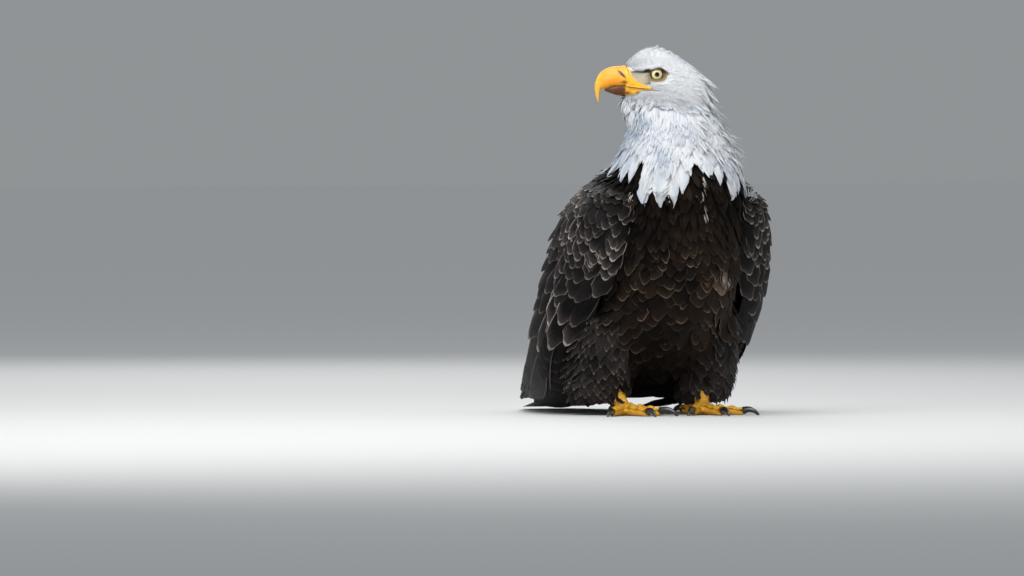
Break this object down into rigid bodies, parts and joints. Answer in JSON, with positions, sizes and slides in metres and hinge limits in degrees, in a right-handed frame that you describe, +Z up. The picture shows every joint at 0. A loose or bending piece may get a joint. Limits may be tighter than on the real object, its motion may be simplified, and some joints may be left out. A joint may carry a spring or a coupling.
{
  "type": "bald eagle",
  "caption": "Adult bald eagle, life size, standing upright with head turned to its right, wings folded and hanging loose, tail resting on the floor; a still display model.",
  "frame": {"origin": "on the floor, at the middle of the bird's outline seen from above", "axes": "+Z up; the bird's breast faces -Y, its own right side is at -X; its tail tip lies at +Y"},
  "size_m": [0.3332, 0.5494, 0.5302],
  "materials": {
    "white_feathers": "soft matt white head, neck and tail feathers",
    "brown_feathers": "very dark brown body and wing feathers with paler brown edges",
    "bill_horn": "smooth horn, orange yellow, satin",
    "foot_skin": "scaly yellow skin",
    "claw_horn": "polished black horn",
    "eye": "wet gloss, pale yellow iris with black pupil"
  },
  "bodies": {
    "root": {"bill_lower": "bill_horn", "bill_upper": "bill_horn", "claw_left_hind": "claw_horn", "claw_left_inner": "claw_horn", "claw_left_middle": "claw_horn", "claw_left_outer": "claw_horn", "claw_right_hind": "claw_horn", "claw_right_inner": "claw_horn", "claw_right_middle": "claw_horn", "claw_right_outer": "claw_horn", "eye_left": "eye", "eye_right": "eye", "head": "white_feathers", "neck": "white_feathers", "tail": "white_feathers", "tarsus_left": "foot_skin", "tarsus_right": "foot_skin", "thigh_left": "brown_feathers", "thigh_right": "brown_feathers", "toe_left_hind": "foot_skin", "toe_left_inner": "foot_skin", "toe_left_middle": "foot_skin", "toe_left_outer": "foot_skin", "toe_right_hind": "foot_skin", "toe_right_inner": "foot_skin", "toe_right_middle": "foot_skin", "toe_right_outer": "foot_skin", "trunk": "brown_feathers", "wing_left_coverts": "brown_feathers", "wing_left_primaries": "brown_feathers", "wing_left_secondaries": "brown_feathers", "wing_right_coverts": "brown_feathers", "wing_right_primaries": "brown_feathers", "wing_right_secondaries": "brown_feathers"}
  },
  "joints": []
}
